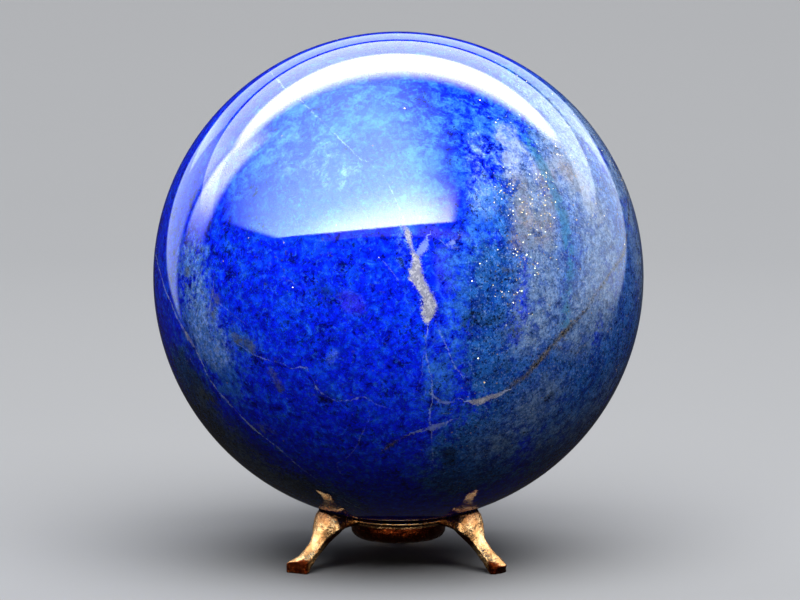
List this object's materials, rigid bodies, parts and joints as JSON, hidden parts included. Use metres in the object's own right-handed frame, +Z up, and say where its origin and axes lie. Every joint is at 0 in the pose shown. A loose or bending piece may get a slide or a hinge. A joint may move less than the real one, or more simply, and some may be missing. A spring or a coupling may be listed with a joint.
{
  "type": "polished lapis lazuli sphere on a three-legged metal stand",
  "caption": "Polished lapis lazuli sphere with pyrite and white calcite veins, resting in the small dish of a low cast brass stand with splayed legs.",
  "frame": {"origin": "on the surface that the feet stand on, straight below the centre of the stone", "axes": "+Z up; -Y is the front, midway between two of the legs; +X to the right seen from the front"},
  "size_m": [0.1, 0.1, 0.1092],
  "materials": {
    "lapis": "polished",
    "brass": "as cast, partly polished"
  },
  "bodies": {
    "root": {"lapis_sphere": "lapis", "brass_stand": "brass"}
  },
  "joints": []
}
